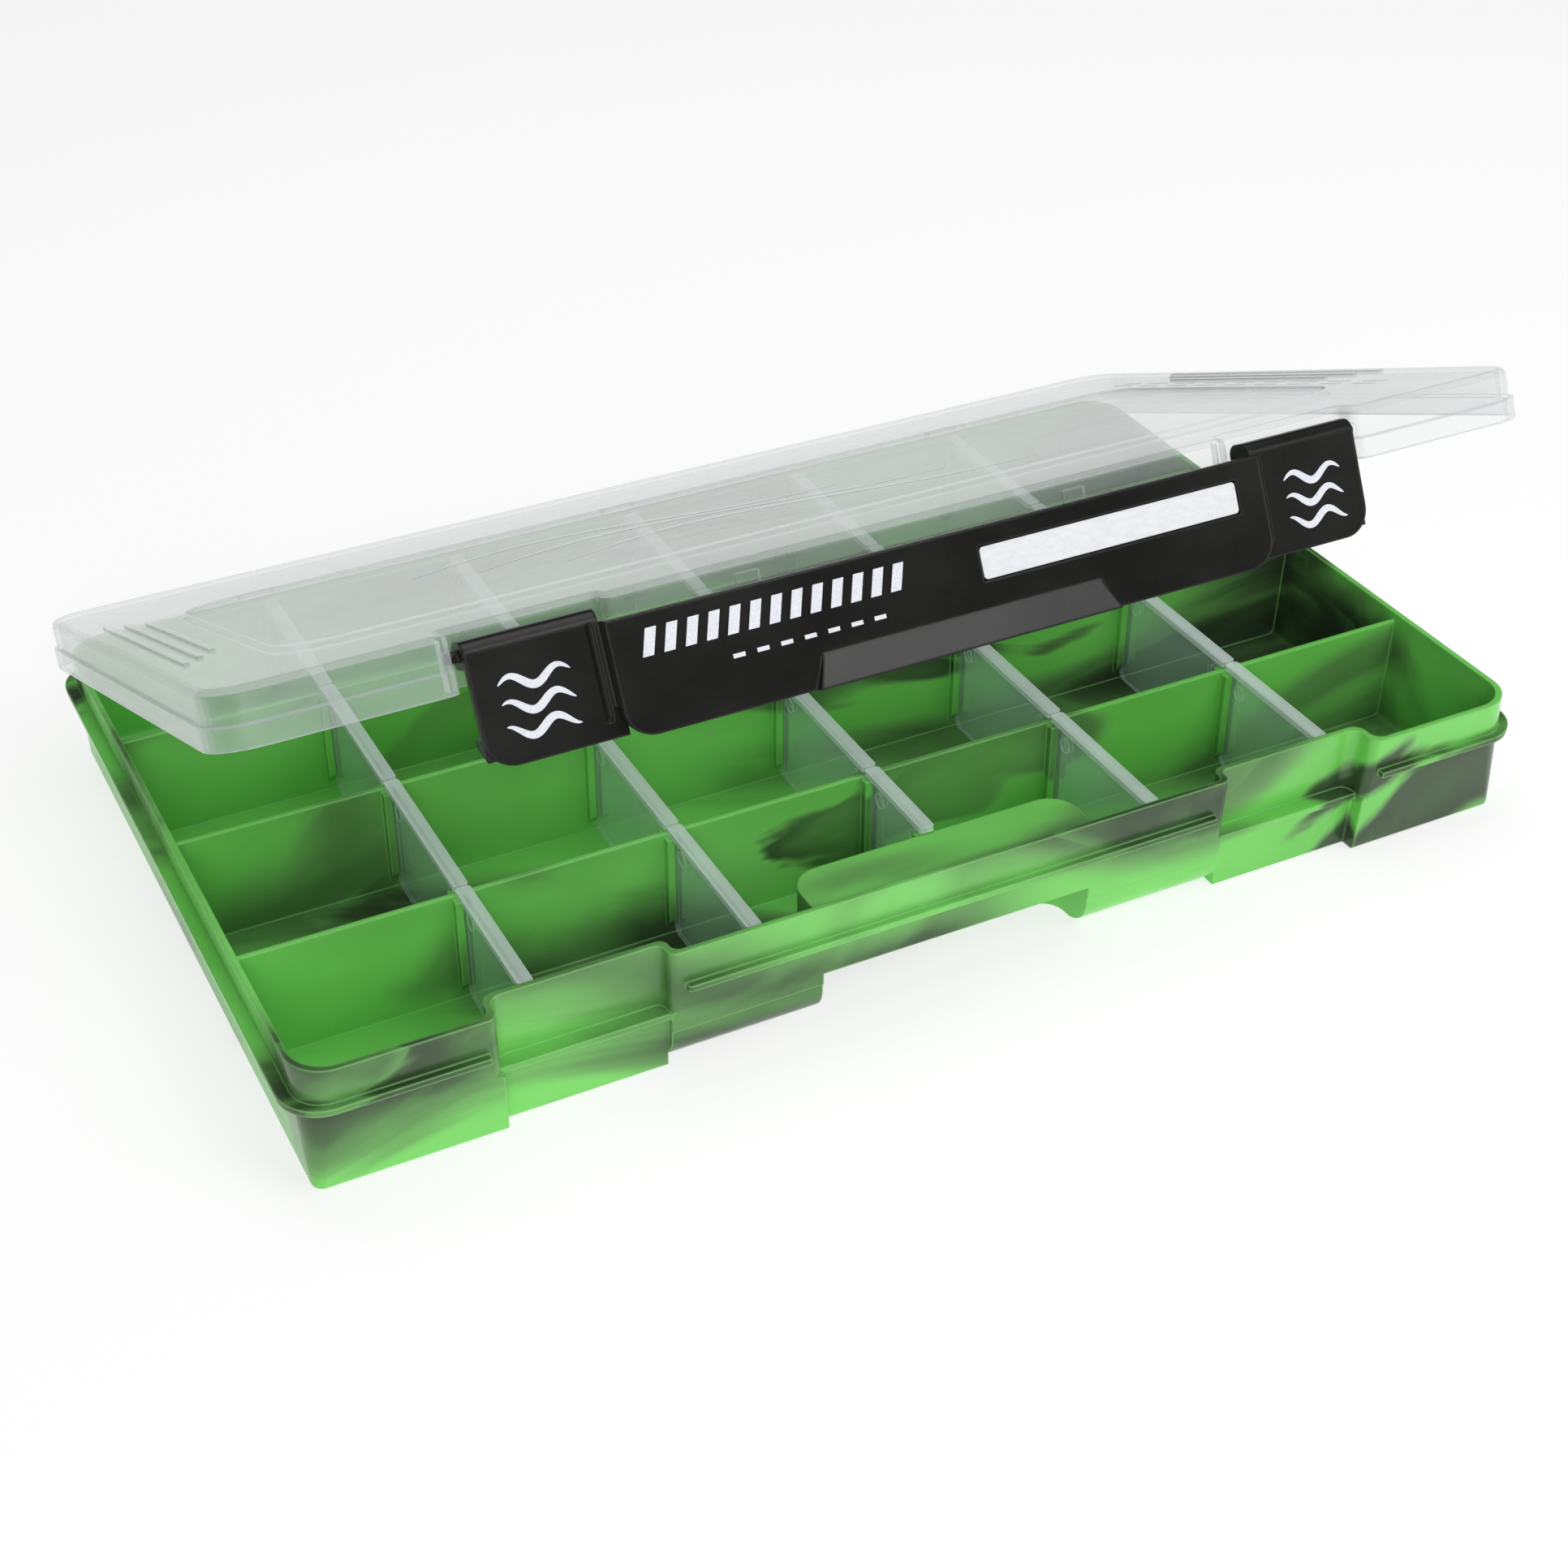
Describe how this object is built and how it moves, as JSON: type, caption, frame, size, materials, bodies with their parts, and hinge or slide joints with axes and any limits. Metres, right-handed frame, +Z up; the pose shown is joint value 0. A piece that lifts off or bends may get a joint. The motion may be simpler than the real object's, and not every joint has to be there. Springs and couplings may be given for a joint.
{
  "type": "fishing tackle box",
  "caption": "Green and black marbled fishing tackle box with lift-out dividers, a clear hinged lid and a wide black front latch with a blank label.",
  "frame": {"origin": "centre of the box standing with its lid part open, on the table plane under the tray", "axes": "+X along the length to the right, +Y to the hinge side, -Y to the latch, +Z up"},
  "size_m": [0.3512, 0.2176, 0.1235],
  "materials": {
    "tray_plastic": "glossy moulded green marbled with black",
    "clear_lid": "glossy, milky clear moulded plastic",
    "clear_divider": "clear moulded plastic, lightly frosted",
    "latch_plastic": "fine satin texture",
    "label_card": "blank white, semi-matte"
  },
  "bodies": {
    "tray_body": {"tray": "tray_plastic"},
    "lid_body": {"lid": "clear_lid"},
    "latch_body": {"latch": "latch_plastic", "latch_label": "label_card"},
    "divider_r1c1_body": {"divider_r1c1": "clear_divider"},
    "divider_r1c2_body": {"divider_r1c2": "clear_divider"},
    "divider_r1c3_body": {"divider_r1c3": "clear_divider"},
    "divider_r1c4_body": {"divider_r1c4": "clear_divider"},
    "divider_r1c5_body": {"divider_r1c5": "clear_divider"},
    "divider_r2c1_body": {"divider_r2c1": "clear_divider"},
    "divider_r2c2_body": {"divider_r2c2": "clear_divider"},
    "divider_r2c3_body": {"divider_r2c3": "clear_divider"},
    "divider_r2c4_body": {"divider_r2c4": "clear_divider"},
    "divider_r2c5_body": {"divider_r2c5": "clear_divider"},
    "divider_r3c1_body": {"divider_r3c1": "clear_divider"},
    "divider_r3c2_body": {"divider_r3c2": "clear_divider"},
    "divider_r3c3_body": {"divider_r3c3": "clear_divider"},
    "divider_r3c4_body": {"divider_r3c4": "clear_divider"},
    "divider_r3c5_body": {"divider_r3c5": "clear_divider"},
    "divider_r4c1_body": {"divider_r4c1": "clear_divider"},
    "divider_r4c2_body": {"divider_r4c2": "clear_divider"},
    "divider_r4c3_body": {"divider_r4c3": "clear_divider"},
    "divider_r4c4_body": {"divider_r4c4": "clear_divider"},
    "divider_r4c5_body": {"divider_r4c5": "clear_divider"}
  },
  "joints": [
    {"name": "lid_hinge", "type": "hinge", "parent": "tray_body", "child": "lid_body", "pos_m": [0, 0.10453, 0.0225], "axis": [-1, 0, 0], "range_deg": [-23.8, 156.2]},
    {"name": "latch_hinge", "type": "hinge", "parent": "lid_body", "child": "latch_body", "pos_m": [0, -0.08226, 0.11691], "axis": [-1, 0, 0], "range_deg": [-4, 80]},
    {"name": "divider_lift_r1c1", "type": "slide", "parent": "tray_body", "child": "divider_r1c1_body", "axis": [0, 0, 1], "range_m": [0, 0.005]},
    {"name": "divider_lift_r1c2", "type": "slide", "parent": "tray_body", "child": "divider_r1c2_body", "axis": [0, 0, 1], "range_m": [0, 0.005]},
    {"name": "divider_lift_r1c3", "type": "slide", "parent": "tray_body", "child": "divider_r1c3_body", "axis": [0, 0, 1], "range_m": [0, 0.005]},
    {"name": "divider_lift_r1c4", "type": "slide", "parent": "tray_body", "child": "divider_r1c4_body", "axis": [0, 0, 1], "range_m": [0, 0.005]},
    {"name": "divider_lift_r1c5", "type": "slide", "parent": "tray_body", "child": "divider_r1c5_body", "axis": [0, 0, 1], "range_m": [0, 0.005]},
    {"name": "divider_lift_r2c1", "type": "slide", "parent": "tray_body", "child": "divider_r2c1_body", "axis": [0, 0, 1], "range_m": [0, 0.028]},
    {"name": "divider_lift_r2c2", "type": "slide", "parent": "tray_body", "child": "divider_r2c2_body", "axis": [0, 0, 1], "range_m": [0, 0.028]},
    {"name": "divider_lift_r2c3", "type": "slide", "parent": "tray_body", "child": "divider_r2c3_body", "axis": [0, 0, 1], "range_m": [0, 0.028]},
    {"name": "divider_lift_r2c4", "type": "slide", "parent": "tray_body", "child": "divider_r2c4_body", "axis": [0, 0, 1], "range_m": [0, 0.028]},
    {"name": "divider_lift_r2c5", "type": "slide", "parent": "tray_body", "child": "divider_r2c5_body", "axis": [0, 0, 1], "range_m": [0, 0.028]},
    {"name": "divider_lift_r3c1", "type": "slide", "parent": "tray_body", "child": "divider_r3c1_body", "axis": [0, 0, 1], "range_m": [0, 0.036]},
    {"name": "divider_lift_r3c2", "type": "slide", "parent": "tray_body", "child": "divider_r3c2_body", "axis": [0, 0, 1], "range_m": [0, 0.036]},
    {"name": "divider_lift_r3c3", "type": "slide", "parent": "tray_body", "child": "divider_r3c3_body", "axis": [0, 0, 1], "range_m": [0, 0.036]},
    {"name": "divider_lift_r3c4", "type": "slide", "parent": "tray_body", "child": "divider_r3c4_body", "axis": [0, 0, 1], "range_m": [0, 0.036]},
    {"name": "divider_lift_r3c5", "type": "slide", "parent": "tray_body", "child": "divider_r3c5_body", "axis": [0, 0, 1], "range_m": [0, 0.036]},
    {"name": "divider_lift_r4c1", "type": "slide", "parent": "tray_body", "child": "divider_r4c1_body", "axis": [0, 0, 1], "range_m": [0, 0.036]},
    {"name": "divider_lift_r4c2", "type": "slide", "parent": "tray_body", "child": "divider_r4c2_body", "axis": [0, 0, 1], "range_m": [0, 0.036]},
    {"name": "divider_lift_r4c3", "type": "slide", "parent": "tray_body", "child": "divider_r4c3_body", "axis": [0, 0, 1], "range_m": [0, 0.036]},
    {"name": "divider_lift_r4c4", "type": "slide", "parent": "tray_body", "child": "divider_r4c4_body", "axis": [0, 0, 1], "range_m": [0, 0.036]},
    {"name": "divider_lift_r4c5", "type": "slide", "parent": "tray_body", "child": "divider_r4c5_body", "axis": [0, 0, 1], "range_m": [0, 0.036]}
  ]
}
